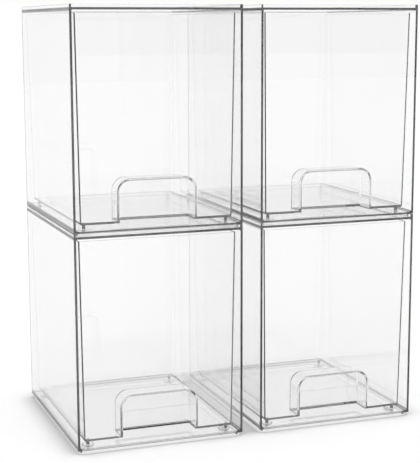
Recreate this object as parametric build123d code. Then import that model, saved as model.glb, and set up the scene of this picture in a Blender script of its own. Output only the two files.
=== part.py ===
"""Four clear moulded storage units in two columns of two.

Each unit is an open-fronted case with one pull-out drawer. The upper case stands on
the lower one: its locating rib and pads drop inside the raised rim of the top plate.
Row frame: millimetres, +Z up, drawers pull out along -Y, and the origin is on the
surface that the set stands on, under the middle of the whole set.
"""
from build123d import *
import os

# The set
CASE_WIDTH = 134.3
CASE_DEPTH = 167.2
CASE_HEIGHT = 167.5
STACK_PITCH = 167.8
COLUMN_GAP = 15.0
COLUMNS = {"left": -1, "right": 1}
LEVELS = {"lower": 0, "upper": 1}

# The case, with its heights measured up from the lower edge of its walls
WALL = 1.8
CASE_FLOOR = 1.5
TOP_PLATE_UNDERSIDE = 163.4
TOP_PLATE = 1.7
CASE_BACK_RADIUS = 2.3
CASE_EDGE_RADIUS = 0.4
FLOOR_FILLET = 2.2
PLATE_FILLET = 1.0

# The locating rib under the case and the four soft pads inside it
RIB_INSET = 2.6
RIB_WALL = 1.6
RIB_HEIGHT = 2.2
RIB_RADIUS = 2.2
PAD_RADIUS = 5.0
PAD_HEIGHT = 2.5
PAD_EDGE_RADIUS = 1.6
PAD_INSET_X = 11.0
PAD_INSET_Y = 13.5

# The drawer, drafted on all four sides, with the same zero height as the case
DRAWER_WALL = 1.2
DRAWER_FLOOR = 1.8
DRAWER_BOTTOM = 4.9
DRAWER_TOP = 161.2
DRAWER_TOP_WIDTH = 125.5
DRAWER_BOTTOM_WIDTH = 121.0
DRAWER_FRONT_TOP = 3.7
DRAWER_FRONT_BOTTOM = 5.8
DRAWER_BACK_TOP = 163.0
DRAWER_BACK_BOTTOM = 160.4
DRAWER_CORNER_RADIUS = 1.6
DRAWER_BASE_RADIUS = 1.5
DRAWER_INSIDE_RADIUS = 0.5
DRAWER_LIP_RADIUS = 0.4
PEG_RADIUS = 1.0
PEG_FOOT_RADIUS = 1.4
PEG_HEIGHT = 3.1
PEG_INSET_X = 3.7
PEG_INSET_Y = 5.0

# The finger recess: an arch at the foot of the drawer front, open in front and below
RECESS_WIDTH = 60.0
RECESS_TOP = 37.0
RECESS_BACK = 23.2
RECESS_WALL = 1.6
RECESS_RADIUS = 9.0
RECESS_RIM_RADIUS = 0.8
RECESS_JOIN_RADIUS = 0.5
FINGER_LIP_BOTTOM = 26.0
FINGER_LIP_RADIUS = 0.2

BEYOND = 20.0


def block(width, y_range, z_range):
    """A plain box, centred on X."""
    depth = y_range[1] - y_range[0]
    height = z_range[1] - z_range[0]
    centre = Pos(0, (y_range[0] + y_range[1]) / 2, (z_range[0] + z_range[1]) / 2)
    return centre * Box(width, depth, height)


def upright_edges(solid):
    """The edges of a solid that run mostly along Z."""
    return [edge for edge in solid.edges() if abs((edge @ 1 - edge @ 0).Z) > 0.8 * edge.length]


def rounded_block(width, y_range, z_range, radius):
    """A box with its four upright edges rounded."""
    solid = block(width, y_range, z_range)
    return fillet(upright_edges(solid), radius)


def make_case():
    """The outer case: floor, walls and top plate in one moulding, open in front."""
    shell = block(CASE_WIDTH, (0, CASE_DEPTH), (0, CASE_HEIGHT))
    back_corners = [edge for edge in upright_edges(shell) if edge.center().Y > CASE_DEPTH / 2]
    shell = fillet(back_corners, CASE_BACK_RADIUS)

    inside_width = CASE_WIDTH - 2 * WALL
    inside = block(inside_width, (-BEYOND, CASE_DEPTH - WALL), (CASE_FLOOR, TOP_PLATE_UNDERSIDE))
    for height, radius in ((CASE_FLOOR, FLOOR_FILLET), (TOP_PLATE_UNDERSIDE, PLATE_FILLET)):
        seam = [edge for edge in inside.edges()
                if abs(edge.center().Z - height) < 0.01 and edge.center().Y > -BEYOND + 0.01]
        inside = fillet(seam, radius)
    back_corners = [edge for edge in upright_edges(inside) if edge.center().Y > CASE_DEPTH / 2]
    inside = fillet(back_corners, CASE_BACK_RADIUS - WALL)
    plate_top = TOP_PLATE_UNDERSIDE + TOP_PLATE
    tray = rounded_block(inside_width, (WALL, CASE_DEPTH - WALL),
                         (plate_top, CASE_HEIGHT + BEYOND), CASE_BACK_RADIUS - WALL)
    shell = shell - inside - tray

    front_edges = [edge for edge in shell.edges() if abs(edge.center().Y) < 0.01]
    rim_edges = [edge for edge in shell.edges()
                 if abs(edge.center().Z - CASE_HEIGHT) < 0.01 and edge.center().Y > 0.01]
    lower_edges = [edge for edge in shell.edges()
                   if abs(edge.center().Z) < 0.01 and edge.center().Y > 0.01]
    shell = fillet(front_edges + rim_edges + lower_edges, CASE_EDGE_RADIUS)
    return shell + make_rib()


def make_rib():
    """The locating rib: a low closed ring under the case floor."""
    ring = rounded_block(CASE_WIDTH - 2 * RIB_INSET, (RIB_INSET, CASE_DEPTH - RIB_INSET),
                         (-RIB_HEIGHT, CASE_FLOOR / 2), RIB_RADIUS)
    ring_edges = [edge for edge in ring.edges() if abs(edge.center().Z + RIB_HEIGHT) < 0.01]
    ring = fillet(ring_edges, CASE_EDGE_RADIUS)
    hollow_inset = RIB_INSET + RIB_WALL
    hollow = rounded_block(CASE_WIDTH - 2 * hollow_inset, (hollow_inset, CASE_DEPTH - hollow_inset),
                           (-BEYOND, 0), RIB_RADIUS - RIB_WALL)
    return ring - hollow


def make_pad():
    """A soft round pad, standing on the origin, that is stuck under the case floor."""
    pad = Pos(0, 0, PAD_HEIGHT / 2) * Cylinder(PAD_RADIUS, PAD_HEIGHT)
    return fillet(pad.edges().sort_by(Axis.Z)[0], PAD_EDGE_RADIUS)


def pad_places():
    """Name and place of each pad under one unit."""
    places = {}
    for side, sign in {"left": -1, "right": 1}.items():
        x = sign * (CASE_WIDTH / 2 - PAD_INSET_X)
        places[f"front_{side}"] = Pos(x, PAD_INSET_Y, -PAD_HEIGHT)
        places[f"back_{side}"] = Pos(x, CASE_DEPTH - PAD_INSET_Y, -PAD_HEIGHT)
    return places


def drafted_block(inset, z_range):
    """The drawer's outer form moved inwards by inset, between two heights."""
    def at_height(low, high, z):
        return low + (high - low) * (z - DRAWER_BOTTOM) / (DRAWER_TOP - DRAWER_BOTTOM)

    side_view = []
    front_view = []
    for z in z_range:
        front = at_height(DRAWER_FRONT_BOTTOM, DRAWER_FRONT_TOP, z) + inset
        back = at_height(DRAWER_BACK_BOTTOM, DRAWER_BACK_TOP, z) - inset
        half_width = at_height(DRAWER_BOTTOM_WIDTH, DRAWER_TOP_WIDTH, z) / 2 - inset
        side_view.append(((front, z), (back, z)))
        front_view.append(((-half_width, z), (half_width, z)))

    def slab(plane, ends, reach):
        (low_a, low_b), (high_a, high_b) = ends
        outline = Polyline(low_a, low_b, high_b, high_a, close=True)
        return extrude(plane * make_face(outline), reach, both=True)

    return slab(Plane.YZ, side_view, CASE_WIDTH) & slab(Plane.XZ, front_view, 2 * CASE_DEPTH)


def arch(width, top, y_range, shoulder_radius, rim_radius):
    """A block with a flat top, two rounded shoulders and a rounded back rim."""
    solid = block(width, y_range, (DRAWER_BOTTOM - BEYOND, top))
    shoulders = [edge for edge in solid.edges().filter_by(Axis.Y) if edge.center().Z > top - 0.01]
    solid = fillet(shoulders, shoulder_radius)
    back_rim = [edge for edge in solid.edges()
                if edge.center().Y > y_range[1] - 0.01 and edge.center().Z > DRAWER_BOTTOM - BEYOND / 2]
    return fillet(back_rim, rim_radius)


def make_drawer():
    """The drawer: an open box with a finger recess in its front and four low pegs below."""
    outer = drafted_block(0, (DRAWER_BOTTOM, DRAWER_TOP))
    outer = fillet(upright_edges(outer), DRAWER_CORNER_RADIUS)
    outer = fillet(outer.faces().sort_by(Axis.Z)[0].edges(), DRAWER_BASE_RADIUS)
    inner = drafted_block(DRAWER_WALL, (DRAWER_BOTTOM + DRAWER_FLOOR, DRAWER_TOP + BEYOND))
    inner = fillet(upright_edges(inner), DRAWER_INSIDE_RADIUS)
    inner = fillet(inner.faces().sort_by(Axis.Z)[0].edges(), DRAWER_INSIDE_RADIUS)
    shell = outer - inner
    top_edges = [edge for edge in shell.edges() if abs(edge.center().Z - DRAWER_TOP) < 0.01]
    shell = fillet(top_edges, DRAWER_LIP_RADIUS)

    pocket = arch(RECESS_WIDTH + 2 * RECESS_WALL, RECESS_TOP + RECESS_WALL,
                  (DRAWER_FRONT_BOTTOM + DRAWER_WALL / 4, RECESS_BACK + RECESS_WALL),
                  RECESS_RADIUS + RECESS_WALL, RECESS_RIM_RADIUS + RECESS_WALL) & outer
    drawer = shell + pocket
    drawer = fillet(join_edges(drawer), RECESS_JOIN_RADIUS)
    cavity = arch(RECESS_WIDTH, RECESS_TOP, (-BEYOND, RECESS_BACK),
                  RECESS_RADIUS, RECESS_RIM_RADIUS)

    front_wall = outer - drafted_block(DRAWER_WALL, (DRAWER_BOTTOM - BEYOND, DRAWER_TOP + BEYOND))
    lip = front_wall & block(RECESS_WIDTH + RECESS_WALL, (-BEYOND, RECESS_BACK - DRAWER_WALL),
                             (FINGER_LIP_BOTTOM, RECESS_TOP + RECESS_WALL / 2))
    lip_edges = [edge for edge in lip.edges().filter_by(Axis.X)
                 if abs(edge.center().Z - FINGER_LIP_BOTTOM) < 0.01]
    lip = fillet(lip_edges, FINGER_LIP_RADIUS)

    return drawer - cavity + lip + make_pegs()


def join_edges(drawer):
    """The inside edges where the recess's arch meets the drawer's front wall."""
    front = DRAWER_FRONT_BOTTOM + DRAWER_WALL / 4
    reach = RECESS_WIDTH / 2 + RECESS_WALL + DRAWER_WALL / 4
    found = []
    for edge in drawer.edges():
        centre = edge.center()
        on_wall = front < centre.Y < DRAWER_FRONT_BOTTOM + 2 * DRAWER_WALL
        above_floor = centre.Z > DRAWER_BOTTOM + 2 * DRAWER_FLOOR
        if on_wall and above_floor and abs(centre.X) < reach and centre.Z < DRAWER_TOP / 2:
            found.append(edge)
    return found


def make_pegs():
    """The four low pegs that the drawer slides on, each a little wider at its foot."""
    pegs = []
    peg_x = DRAWER_BOTTOM_WIDTH / 2 - PEG_INSET_X
    peg_z = DRAWER_BOTTOM + (DRAWER_FLOOR / 2 - PEG_HEIGHT) / 2
    peg = Cone(PEG_FOOT_RADIUS, PEG_RADIUS, PEG_HEIGHT + DRAWER_FLOOR / 2)
    for x in (-peg_x, peg_x):
        for y in (DRAWER_FRONT_BOTTOM + PEG_INSET_Y, DRAWER_BACK_BOTTOM - PEG_INSET_Y):
            pegs.append(Pos(x, y, peg_z) * peg)
    return pegs


def unit_place(column, level):
    """Where a unit stands in the set."""
    x = COLUMNS[column] * (CASE_WIDTH + COLUMN_GAP) / 2
    return Pos(x, -CASE_DEPTH / 2, PAD_HEIGHT + LEVELS[level] * STACK_PITCH)


def write_set():
    """Write every piece of the four units to its own file."""
    os.makedirs("parts", exist_ok=True)
    case = make_case()
    drawer = make_drawer()
    pad = make_pad()
    for column in COLUMNS:
        for level in LEVELS:
            place = unit_place(column, level)
            unit = f"{column}_{level}"
            export_step(place * case, f"parts/{unit}_case.step")
            export_step(place * drawer, f"parts/{unit}_drawer.step")
            for corner, pad_place in pad_places().items():
                export_step(place * pad_place * pad, f"parts/{unit}_pad_{corner}.step")


write_set()
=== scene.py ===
import math

import bmesh
import bpy
from mathutils import Matrix, Vector


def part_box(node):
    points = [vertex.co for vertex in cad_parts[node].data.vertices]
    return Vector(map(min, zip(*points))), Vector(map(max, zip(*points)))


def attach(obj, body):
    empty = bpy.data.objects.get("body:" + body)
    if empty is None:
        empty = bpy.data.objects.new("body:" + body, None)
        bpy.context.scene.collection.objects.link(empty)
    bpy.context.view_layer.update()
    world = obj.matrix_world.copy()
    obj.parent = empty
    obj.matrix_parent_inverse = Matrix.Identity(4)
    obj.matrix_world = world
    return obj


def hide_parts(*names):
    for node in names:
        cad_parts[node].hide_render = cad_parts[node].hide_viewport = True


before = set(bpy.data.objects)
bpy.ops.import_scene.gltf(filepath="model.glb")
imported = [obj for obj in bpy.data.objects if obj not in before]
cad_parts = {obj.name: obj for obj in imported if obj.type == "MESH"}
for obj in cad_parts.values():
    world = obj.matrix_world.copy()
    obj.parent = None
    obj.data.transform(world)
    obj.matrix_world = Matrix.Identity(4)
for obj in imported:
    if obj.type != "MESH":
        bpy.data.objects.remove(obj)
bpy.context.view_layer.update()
scene = bpy.context.scene
scene.view_settings.view_transform = "Standard"

# ---------------------------------------------------------------- the view
# The set is seen from the front, a little from the left and from above, through
# a long lens, so its upright walls stay nearly parallel. Angles are in radians.
CAMERA_PLACE = (-0.36042, -0.97281, 0.32178)
CAMERA_TURN = 0.35115
CAMERA_DIP = 0.16303
CAMERA_ROLL = 0.00297
CAMERA_LENS = 97.221
CAMERA_SENSOR = 36

level_ahead = Vector((math.sin(CAMERA_TURN), math.cos(CAMERA_TURN), 0))
level_right = Vector((math.cos(CAMERA_TURN), -math.sin(CAMERA_TURN), 0))
ahead = level_ahead * math.cos(CAMERA_DIP) - Vector((0, 0, math.sin(CAMERA_DIP)))
below = -level_ahead * math.sin(CAMERA_DIP) - Vector((0, 0, math.cos(CAMERA_DIP)))
right = level_right * math.cos(CAMERA_ROLL) + below * math.sin(CAMERA_ROLL)
above = level_right * math.sin(CAMERA_ROLL) - below * math.cos(CAMERA_ROLL)

camera_data = bpy.data.cameras.new("camera")
camera_data.lens = CAMERA_LENS
camera_data.sensor_width = CAMERA_SENSOR
camera = bpy.data.objects.new("camera", camera_data)
scene.collection.objects.link(camera)
camera.matrix_world = Matrix.Translation(CAMERA_PLACE) @ (
    Matrix((right, above, -ahead)).transposed().to_4x4())
scene.camera = camera

# ---------------------------------------------------------- the outer cases
# Each case is one injection moulding of clear polystyrene, polished in the tool:
# floor, walls, back and top plate with a raised rim. Its skin shows faint flow
# lines, a little orange peel, and patches of fine rubbed hairs from use.
CASE_BEND = 1.5
CASE_LIGHT_LOSS = 12.0
CASE_FLOW = 0.5
CASE_RUB = 0.05
MOULDING_CLEARNESS = 0.992
MOULDING_POLISH = 0.0

FLOW_STRETCH = (9, 9, 2.5)
FLOW_SCALE = 3.0
FLOW_DETAIL = 3.0
FLOW_SWIRL = 1.2
PEEL_SCALE = 420.0
PEEL_DETAIL = 1.0
HAIR_TURN = (0.5, 0.7, 0.3)
HAIR_STRETCH = (60, 900, 900)
HAIR_SCALE = 1.0
HAIR_DETAIL = 2.0
HAIR_EDGE = ((0.66, 0), (0.72, 1))
PATCH_SCALE = 22.0
PATCH_DETAIL = 2.0
PATCH_EDGE = ((0.52, 0), (0.66, 1))
FLOW_SHADE = 0.02
RUB_SHADE = 0.1
PEEL_SHARE = 0.03
SKIN_BUMP = 0.15
SKIN_DEPTH = 0.0001

# A ray meets up to a dozen walls here, and long paths inside the wall edges
# are what draws the dark outlines, so it may turn more often than usual.
MOST_TURNS = 64
MOST_SOFT_TURNS = 2
scene.cycles.max_bounces = MOST_TURNS
scene.cycles.transmission_bounces = MOST_TURNS
scene.cycles.glossy_bounces = MOST_TURNS
scene.cycles.transparent_max_bounces = MOST_TURNS
scene.cycles.diffuse_bounces = MOST_SOFT_TURNS


def add_node(tree, kind, **inputs):
    """A shader node, with values or links for its inputs, given by name or as n and number."""
    node = tree.nodes.new(kind)
    for name, value in inputs.items():
        place = int(name[1:]) if name[1:].isdigit() else name.replace("_", " ")
        socket = node.inputs[place]
        if isinstance(value, bpy.types.NodeSocket):
            tree.links.new(value, socket)
        else:
            socket.default_value = value
    return node


def add_math(tree, operation, *values):
    """A Math node's result from one, two or three values or links."""
    node = add_node(tree, "ShaderNodeMath", **{f"n{i}": v for i, v in enumerate(values)})
    node.operation = operation
    return node.outputs[0]


def add_ramp(tree, value, *stops):
    """A grey ColorRamp's result: stops are (place, grey) pairs."""
    node = add_node(tree, "ShaderNodeValToRGB", Fac=value)
    stops_made = node.color_ramp.elements
    while len(stops_made) < len(stops):
        stops_made.new(1)
    for stop, (place, grey) in zip(stops_made, stops):
        stop.position = place
        stop.color = (grey, grey, grey, 1)
    return node.outputs["Color"]


def add_noise(tree, place, scale, detail, distortion=0.0):
    """A Noise Texture's grey value at a place."""
    return add_node(tree, "ShaderNodeTexNoise", Vector=place, Scale=scale, Detail=detail,
                    Distortion=distortion).outputs["Fac"]


def moulded_skin():
    """The node group for a clear moulding's skin: flow lines, orange peel, rubbed hairs."""
    tree = bpy.data.node_groups.new("moulded skin", "ShaderNodeTree")
    ports = tree.interface
    for name in ("Flow", "Rub", "Polish"):
        ports.new_socket(name, in_out="INPUT", socket_type="NodeSocketFloat")
    ports.new_socket("Colour", in_out="OUTPUT", socket_type="NodeSocketColor")
    ports.new_socket("Roughness", in_out="OUTPUT", socket_type="NodeSocketFloat")
    ports.new_socket("Height", in_out="OUTPUT", socket_type="NodeSocketFloat")
    given = tree.nodes.new("NodeGroupInput").outputs
    place = tree.nodes.new("ShaderNodeTexCoord").outputs["Object"]

    stretched = add_node(tree, "ShaderNodeMapping", Vector=place, Scale=FLOW_STRETCH)
    flow = add_noise(tree, stretched.outputs[0], FLOW_SCALE, FLOW_DETAIL, FLOW_SWIRL)
    peel = add_noise(tree, place, PEEL_SCALE, PEEL_DETAIL)
    turned = add_node(tree, "ShaderNodeMapping", Vector=place, Rotation=HAIR_TURN,
                      Scale=HAIR_STRETCH)
    hairs = add_noise(tree, turned.outputs[0], HAIR_SCALE, HAIR_DETAIL)
    patches = add_noise(tree, place, PATCH_SCALE, PATCH_DETAIL)
    worn = add_math(tree, "MULTIPLY", add_ramp(tree, hairs, *HAIR_EDGE),
                    add_ramp(tree, patches, *PATCH_EDGE))
    rubbed = add_math(tree, "MULTIPLY", worn, given["Rub"])

    streak = add_math(tree, "MULTIPLY", flow, given["Flow"])
    loss = add_math(tree, "MULTIPLY_ADD", streak, FLOW_SHADE,
                    add_math(tree, "MULTIPLY", rubbed, RUB_SHADE))
    tone = add_math(tree, "SUBTRACT", 1.0, loss)
    shade = add_node(tree, "ShaderNodeCombineColor", Red=tone, Green=tone, Blue=tone)
    add_node(tree, "NodeGroupOutput", Colour=shade.outputs[0],
             Roughness=add_math(tree, "ADD", given["Polish"], rubbed),
             Height=add_math(tree, "MULTIPLY_ADD", peel, PEEL_SHARE, streak))
    return tree


skin = moulded_skin()


def clear_plastic(name, bend, light_loss, clearness, flow, rub, polish):
    """A clear plastic that loses light along its depth.

    Returns the material, its Principled node and its skin node.
    """
    material = bpy.data.materials.new(name)
    material.use_nodes = True
    tree = material.node_tree
    tree.nodes.clear()
    surface = tree.nodes.new("ShaderNodeGroup")
    surface.node_tree = skin
    surface.inputs["Flow"].default_value = flow
    surface.inputs["Rub"].default_value = rub
    surface.inputs["Polish"].default_value = polish
    bump = add_node(tree, "ShaderNodeBump", Height=surface.outputs["Height"],
                    Strength=SKIN_BUMP, Distance=SKIN_DEPTH)
    body = add_node(tree, "ShaderNodeBsdfPrincipled", Base_Color=surface.outputs["Colour"],
                    Roughness=surface.outputs["Roughness"], IOR=bend,
                    Transmission_Weight=1.0, Normal=bump.outputs[0])
    path = tree.nodes.new("ShaderNodeLightPath").outputs
    passing = add_node(tree, "ShaderNodeBsdfTransparent",
                       Color=(clearness, clearness, clearness, 1))
    lit = add_node(tree, "ShaderNodeMixShader", Fac=path["Is Diffuse Ray"],
                   n1=body.outputs[0], n2=passing.outputs[0])
    shown = add_node(tree, "ShaderNodeMixShader", Fac=path["Is Shadow Ray"],
                     n1=lit.outputs[0], n2=passing.outputs[0])
    inside = add_node(tree, "ShaderNodeVolumeAbsorption", Color=(0, 0, 0, 1),
                      Density=light_loss)
    add_node(tree, "ShaderNodeOutputMaterial", Surface=shown.outputs[0],
             Volume=inside.outputs[0])
    return material, body, surface


def cover(ending, material):
    """Gives the material to every CAD node whose name ends so."""
    for name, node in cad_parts.items():
        if name.endswith(ending):
            node.material_slots[0].material = material


case_plastic, _, _ = clear_plastic(
    "clear case plastic", bend=CASE_BEND, light_loss=CASE_LIGHT_LOSS,
    clearness=MOULDING_CLEARNESS, flow=CASE_FLOW, rub=CASE_RUB, polish=MOULDING_POLISH)
cover("_case", case_plastic)

# --------------------------------------------------------------- the drawers
# Each drawer is a thinner moulding of the same clear plastic. The four short
# pegs that it slides on carry painted shade: their colour is darkened grey, from
# the foot to just under its floor.
DRAWER_BEND = 1.5
DRAWER_LIGHT_LOSS = 8.0
DRAWER_FLOW = 0.4
DRAWER_RUB = 0.06
# Height and strength of the painted shade on the pegs.
PEG_PAINTED_SHADE_HEIGHT = 0.00306
PEG_PAINTED_SHADE = 0.8

case_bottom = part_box("left_lower_pad_front_left")[1].z
stack_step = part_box("left_upper_case")[1].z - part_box("left_lower_case")[1].z
peg_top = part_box("left_lower_drawer")[0].z - case_bottom + PEG_PAINTED_SHADE_HEIGHT

drawer_plastic, drawer_body, drawer_skin = clear_plastic(
    "clear drawer plastic", bend=DRAWER_BEND, light_loss=DRAWER_LIGHT_LOSS,
    clearness=MOULDING_CLEARNESS, flow=DRAWER_FLOW, rub=DRAWER_RUB, polish=MOULDING_POLISH)
tree = drawer_plastic.node_tree
place = tree.nodes.new("ShaderNodeTexCoord").outputs["Object"]
place_z = add_node(tree, "ShaderNodeSeparateXYZ", Vector=place).outputs["Z"]
unit_z = add_math(tree, "FLOORED_MODULO", add_math(tree, "SUBTRACT", place_z, case_bottom),
                  stack_step)
# Painted shade: below the pegs' top the drawer's colour is darkened, so the pegs look dark.
peg_painted_shade_share = add_math(tree, "MULTIPLY", add_math(tree, "LESS_THAN", unit_z, peg_top),
                        PEG_PAINTED_SHADE)
skin_and_peg_painted_shade = add_math(tree, "MULTIPLY", drawer_skin.outputs["Colour"],
                     add_math(tree, "SUBTRACT", 1.0, peg_painted_shade_share))
tree.links.new(skin_and_peg_painted_shade, drawer_body.inputs["Base Color"])
cover("_drawer", drawer_plastic)

# ------------------------------------------------------------------ the pads
# Under each corner of a case sticks a round bumper of soft clear rubber: a thin
# skirt against the plastic, a domed side, and a flat foot with a shallow sink mark.
PAD_BEND = 1.41
PAD_LIGHT_LOSS = 30.0
PAD_CLEARNESS = 0.9
PAD_FLOW = 0.2
PAD_RUB = 0.1
PAD_POLISH = 0.12

GLUE_LINE = 0.00002
GLUED_SHARE = 0.6
SKIRT_HEIGHT = 0.00035
SKIRT_EDGE = 0.00008
SKIRT_STEP = 0.00025
SKIRT_SLOPE = 0.00006
FOOT_RADIUS = 0.0026
FOOT_RING_SHARE = 0.8
SINK_SHARE = 0.6
SINK_DEPTH = 0.00012
SINK_MIDDLE = 1.4
PAD_TURNS = 48
DOME_STEPS = 10

pad_rubber, _, _ = clear_plastic(
    "clear pad rubber", bend=PAD_BEND, light_loss=PAD_LIGHT_LOSS,
    clearness=PAD_CLEARNESS, flow=PAD_FLOW, rub=PAD_RUB, polish=PAD_POLISH)


def pad_outline(radius, height):
    """Radius and height of the turned outline, from the glued face down to the foot."""
    top = height - GLUE_LINE
    shoulder_radius = radius - SKIRT_STEP
    shoulder_height = top - SKIRT_HEIGHT - SKIRT_SLOPE
    outline = [(0.0, top), (radius * GLUED_SHARE, top), (radius - SKIRT_EDGE, top),
               (radius, top - SKIRT_EDGE), (radius, top - SKIRT_HEIGHT),
               (shoulder_radius, shoulder_height)]
    for step in range(1, DOME_STEPS + 1):
        angle = step / DOME_STEPS * math.pi / 2
        outline.append((FOOT_RADIUS + (shoulder_radius - FOOT_RADIUS) * math.cos(angle),
                        shoulder_height * (1 - math.sin(angle))))
    outline += [(FOOT_RADIUS * FOOT_RING_SHARE, 0.0), (FOOT_RADIUS * SINK_SHARE, SINK_DEPTH),
                (0.0, SINK_DEPTH * SINK_MIDDLE)]
    return outline


def make_pad(name, node_name):
    """One bumper, turned from its outline, in the place of its plain solid."""
    low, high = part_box(node_name)
    middle = (low + high) / 2
    form = bmesh.new()
    rings = []
    for radius, height in pad_outline((high.x - low.x) / 2, high.z - low.z):
        if radius == 0:
            rings.append([form.verts.new((middle.x, middle.y, low.z + height))])
            continue
        angles = [turn / PAD_TURNS * math.tau for turn in range(PAD_TURNS)]
        rings.append([form.verts.new((middle.x + radius * math.cos(angle),
                                      middle.y + radius * math.sin(angle),
                                      low.z + height)) for angle in angles])
    for inner, outer in zip(rings, rings[1:]):
        for turn in range(PAD_TURNS):
            after = (turn + 1) % PAD_TURNS
            corners = [inner[turn % len(inner)], outer[turn % len(outer)],
                       outer[after % len(outer)], inner[after % len(inner)]]
            form.faces.new(list(dict.fromkeys(corners)))
    bmesh.ops.recalc_face_normals(form, faces=form.faces)
    for face in form.faces:
        face.smooth = True
    mesh = bpy.data.meshes.new(name)
    form.to_mesh(mesh)
    form.free()
    pad = bpy.data.objects.new(name, mesh)
    scene.collection.objects.link(pad)
    return pad


for unit in ("left_lower", "left_upper", "right_lower", "right_upper"):
    for corner in ("front_left", "front_right", "back_left", "back_right"):
        pad = make_pad(f"{unit}_bumper_{corner}", f"{unit}_pad_{corner}")
        pad.data.materials.append(pad_rubber)
        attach(pad, f"{unit}_unit")
        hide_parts(f"{unit}_pad_{corner}")

# ----------------------------------------------------------------- the floor
# A white paper sweep stands for the table and the wall behind. It keeps a narrow
# grey shade round the cases, and glows a little where it is seen, to reach white.
FLOOR_SIZE = 12.0
FLOOR_DROP = 0.0002
SHADE_REACH = 0.022
SHADE_SAMPLES = 16
SHADE_STOPS = ((0.0, 1.0), (0.2, 0.8), (0.47, 0.47), (0.59, 0.69),
               (0.68, 0.8), (0.76, 0.86), (0.9, 0.96), (1.0, 1.0))
PAPER_WHITE = 0.8
GLOW_SEEN = 0.25
GLOW_BEHIND = 0.22

floor_mesh = bpy.data.meshes.new("floor")
half = FLOOR_SIZE / 2
floor_mesh.from_pydata(
    [(-half, -half, 0), (half, -half, 0), (half, half, 0), (-half, half, 0)],
    [], [(0, 1, 2, 3)])
floor = bpy.data.objects.new("floor", floor_mesh)
floor.location.z = -FLOOR_DROP
scene.collection.objects.link(floor)
floor_paper = bpy.data.materials.new("white paper sweep")
floor_paper.use_nodes = True
tree = floor_paper.node_tree
tree.nodes.clear()
contact = add_node(tree, "ShaderNodeAmbientOcclusion", Distance=SHADE_REACH)
contact.samples = SHADE_SAMPLES
shade = add_ramp(tree, contact.outputs["AO"], *SHADE_STOPS)
paper = add_node(tree, "ShaderNodeBsdfDiffuse",
                 Color=add_math(tree, "MULTIPLY", shade, PAPER_WHITE))
path = tree.nodes.new("ShaderNodeLightPath").outputs
behind_clear = add_math(tree, "MAXIMUM", path["Is Glossy Ray"], path["Is Transmission Ray"])
glow_strength = add_math(tree, "MULTIPLY_ADD", behind_clear, GLOW_BEHIND,
                         add_math(tree, "MULTIPLY", path["Is Camera Ray"], GLOW_SEEN))
glow = add_node(tree, "ShaderNodeEmission", Color=shade, Strength=glow_strength)
both = add_node(tree, "ShaderNodeAddShader", n0=paper.outputs[0], n1=glow.outputs[0])
add_node(tree, "ShaderNodeOutputMaterial", Surface=both.outputs[0])
floor_mesh.materials.append(floor_paper)

# ----------------------------------------------------------------- the light
# White light comes evenly from all round. Only what the plastic mirrors or bends
# is darker, in front, towards the ceiling and overhead, and greys the wall edges.
FRONT_DARK = 0.3
FRONT_EDGES = (-0.4, 0.4)
CEILING_DARK = 0.96
CEILING_EDGES = (0.03, 0.12)
OVERHEAD_DARK = 0.85
OVERHEAD_EDGES = (0.4, 0.75)


def add_change(tree, value, edges, first, last):
    """Goes from the first number to the last as the value passes between the two edges."""
    return add_node(tree, "ShaderNodeMapRange", Value=value, From_Min=edges[0],
                    From_Max=edges[1], To_Min=first, To_Max=last).outputs[0]


def add_choice(tree, share, first, second):
    """The first value, giving way to the second as the share goes from 0 to 1."""
    return add_node(tree, "ShaderNodeMix", n0=share, n2=first, n3=second).outputs[0]


world = bpy.data.worlds.new("studio")
scene.world = world
world.use_nodes = True
tree = world.node_tree
tree.nodes.clear()
towards = add_node(tree, "ShaderNodeSeparateXYZ",
                   Vector=tree.nodes.new("ShaderNodeTexCoord").outputs["Generated"]).outputs
front = add_change(tree, towards["Y"], FRONT_EDGES, FRONT_DARK, 1.0)
ceiling = add_change(tree, towards["Z"], CEILING_EDGES, 1.0, CEILING_DARK)
overhead = add_change(tree, towards["Z"], OVERHEAD_EDGES, 0.0, OVERHEAD_DARK)
path = tree.nodes.new("ShaderNodeLightPath").outputs
mirrored = add_math(tree, "MULTIPLY", path["Is Reflection Ray"],
                    add_math(tree, "SUBTRACT", 1.0, path["Is Diffuse Ray"]))
strength = add_choice(tree, mirrored, 1.0, front)
strength = add_choice(tree, path["Is Transmission Ray"], strength, ceiling)
bent = add_math(tree, "MULTIPLY", overhead,
                add_math(tree, "MAXIMUM", mirrored, path["Is Transmission Ray"]))
strength = add_math(tree, "MULTIPLY", strength, add_math(tree, "SUBTRACT", 1.0, bent))
sky = add_node(tree, "ShaderNodeBackground", Color=(1, 1, 1, 1), Strength=strength)
add_node(tree, "ShaderNodeOutputWorld", Surface=sky.outputs[0])
